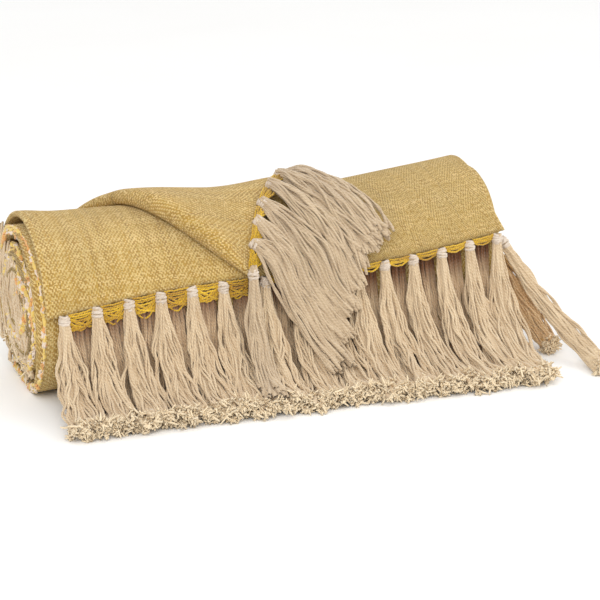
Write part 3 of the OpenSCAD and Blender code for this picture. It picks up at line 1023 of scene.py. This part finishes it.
# ---- the ends of the roll ----
def end_tassel(name, top, end, lead, wide, material, seed):
    """A tassel at the right-hand end, which leaves the cloth towards lead and lies down on the floor."""
    rng = np.random.default_rng(seed)
    top, end = np.array(top, float), np.array(end, float)
    low = [between(top[0], end[0], 0.75), between(top[1], end[1], 0.5), end[2] + 12]
    curve = np.array([top, top + lead, low, end])
    spread = np.interp(SHARE, [0, 0.1, 0.35, 0.7, 1], wide)
    thick = np.interp(SHARE, [0, 0.2, 1], [3.0, 3.6, 4.0])
    across, out = bundle_offsets(END_YARNS, rng, spread, thick, 1.2)
    core = bezier(curve, SHARE * rng.uniform(0.93, 1.0, (END_YARNS, 1)))
    core = core + np.array([0.80, 0.35, 0.45]) * across[..., None]
    core = core + np.array([0.2, -0.55, 0.8]) * out[..., None]
    core[..., 2] = np.maximum(core[..., 2], FLOOR_CLEAR)
    tassel(name + "_yarn", core, material, rng, name, name)


LUMP_STEP = 1.6                   # from one point to the next along a side edge
EDGE_RADIUS = 80.0                # of the outermost turn, for these steps


def lumpy_edge(name, start, layer, out):
    """The side edge of a third, where yarns turn back into soft lumps, all the way into the core."""
    rng = np.random.default_rng(700 + layer)
    phi = [start]
    while phi[-1] < CORE_PHI:
        radius = EDGE_RADIUS - float(spiral_depth(phi[-1])) - layer * LAYER
        phi.append(phi[-1] + math.degrees(LUMP_STEP / radius))
    phi = np.array(phi)
    knots = np.arange(0, len(phi) + 3, 3)
    bumps = np.interp(np.arange(len(phi)), knots, rng.random(len(knots)))
    paths, radii = [], []
    for row in range(3):
        inward = row * 2.6 * (layer == 0) + rng.normal(0, 0.5, len(phi))
        x = out * (HALF + end_wander(phi, layer) + rng.normal(0, 0.5, len(phi)) + 0.3 + 0.5 * row)
        depth = spiral_depth(phi) + layer * LAYER + CLOTH / 2 + inward
        radius = 0.7 + 2.4 * np.roll(bumps, 5 * row) ** 2
        path = place(x, phi, depth)
        path[:, 2] = np.maximum(path[:, 2], radius * 1.1)
        paths.append(path)
        radii.append(radius)
    p, f, u, tone = strands(np.array(paths), np.array(radii), 8, (1, 0, 0), rng)
    obj = mesh_object(name, p, f, u, EDGE_YARN, tone)
    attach(obj, "roll")


def side_edges():
    """The top third's side edge shows at the left end, and the base third's at the right."""
    lumpy_edge("side_edge_left", FLAP_END_PHI + 4, 0, -1)
    lumpy_edge("side_edge_right", PART_PHI, 2, 1)


def core_fringe():
    """Fringe of the other end of the throw, wound up in the core."""
    rng = np.random.default_rng(500)
    count = 260
    start = CORE_PHI - 40 + rng.uniform(0, 300, (count, 1))
    phi = start + 110 * SHARE
    depth = spiral_depth(CORE_PHI) + rng.uniform(-1, 10, (count, 1)) + wiggle(count, rng, 0.8)
    x = between(-HALF - 1, HALF + 1, rng.random((count, 1)) ** 0.9) + wiggle(count, rng, 5.0)
    x = np.clip(x, -HALF - 3, HALF + 3)
    paths = place(x, phi, depth)
    p, f, u, tone = strands(paths, strand_radii(count, rng, 1.2), 5, (1, 0, 0), rng)
    yarn_piece(mesh_object("core_fringe", p, f, u, SHADE_YARN, tone), "roll", "inner_tassels")


def loose_strands():
    """Strands of the inner fringe that hang down the left-hand end."""
    rng = np.random.default_rng(520)
    count = 120
    face = -HALF - 7.0  # they hang this far out
    j = np.sort(rng.uniform(0, 1, count))
    top = np.stack([face + rng.uniform(0, 4, count), between(58, -14, j) + rng.normal(0, 2, count),
                    between(134, 96, j) + rng.normal(0, 5, count)], -1)
    end = np.stack([np.full(count, face), between(64, -34, j) + rng.normal(0, 4, count),
                    between(34, 26, j) + rng.normal(0, 8, count)], -1)
    t = SHARE[None, :, None]
    paths = (top[:, None] * (1 - t) ** 3 + 3 * (top + [-3, 5, -20])[:, None] * t * (1 - t) ** 2
             + 3 * (end + [-1, 8, 26])[:, None] * t ** 2 * (1 - t) + end[:, None] * t ** 3)
    paths[..., 1] += wiggle(count, rng, 2.4)
    paths[..., 0] += wiggle(count, rng, 1.0)
    p, f, u, tone = joined([strands(paths, strand_radii(count, rng, 1.2), 6, (1, 0, 0), rng),
                            fluffy_ends(paths, rng, 2)])
    yarn_piece(mesh_object("loose_strands", p, f, u, CREAM_YARN, tone), "roll", "core_strands")


# ---- camera, light and floor ----
def camera():
    """Looks down the front of the roll from its left, from a long way off."""
    turn, rise, distance = math.radians(23.23), math.radians(18.6), 1785.6
    back = np.array([-math.sin(turn) * math.cos(rise), -math.cos(turn) * math.cos(rise), math.sin(rise)])
    target = np.array([47.05, 0, 43.94])
    data = bpy.data.cameras.new("camera")
    data.lens = 114.2
    data.sensor_width = 36
    data.clip_end = 20
    obj = bpy.data.objects.new("camera", data)
    obj.location = to_world(target + back * distance)
    obj.rotation_euler = Vector(-back).to_track_quat("-Z", "Y").to_euler()
    bpy.context.scene.collection.objects.link(obj)
    bpy.context.scene.camera = obj


def area_light(name, location, aim, size, power):
    data = bpy.data.lights.new(name, "AREA")
    data.size = size
    data.energy = power
    obj = bpy.data.objects.new(name, data)
    obj.location = location
    obj.rotation_euler = (Vector(aim) - Vector(location)).to_track_quat("-Z", "Y").to_euler()
    bpy.context.scene.collection.objects.link(obj)


def studio():
    """A plain pale floor, soft light from the front and a white surround."""
    bpy.ops.mesh.primitive_plane_add(size=12, location=(0, 0, 0))
    floor = bpy.context.object
    floor.name = "floor"
    n = Nodes("pale_floor", roughness=0.8, sheen=0.0)
    grain = n.noise(n.position(), 3.0)
    floor.data.materials.append(n.finish(n.mix(grain, colour(246, 245, 243), colour(250, 250, 249))))
    world = bpy.data.worlds.new("studio")
    world.use_nodes = True
    world.node_tree.nodes["Background"].inputs[0].default_value = (1, 1, 1, 1)
    world.node_tree.nodes["Background"].inputs[1].default_value = 1.0
    bpy.context.scene.world = world
    area_light("key", (-0.7, -1.1, 1.3), (0, 0, 0.06), 1.0, 10)
    area_light("fill", (1.2, -0.9, 0.9), (0, 0, 0.06), 1.2, 8)
    bpy.context.scene.view_settings.view_transform = "Standard"


camera()
studio()
rolled_cloth()
free_cloth()
turned_corner()
front_fringe()
under_fringe()
corner_fringe()
edge_yarn()
corner_yarn()
end_tassel("end_tassel_long", (224, -66, 100), (271, -182, 6), (14, -6, -24),
           (3.4, 4, 5.6, 7.5, 10), CREAM_YARN, 601)
end_tassel("end_tassel_short", (226, -48, 84), (254, -116, 6), (9, -16, -20),
           (3, 6, 13, 15, 7), PAINTED_SHADE_YARN, 602)
side_edges()
core_fringe()
loose_strands()
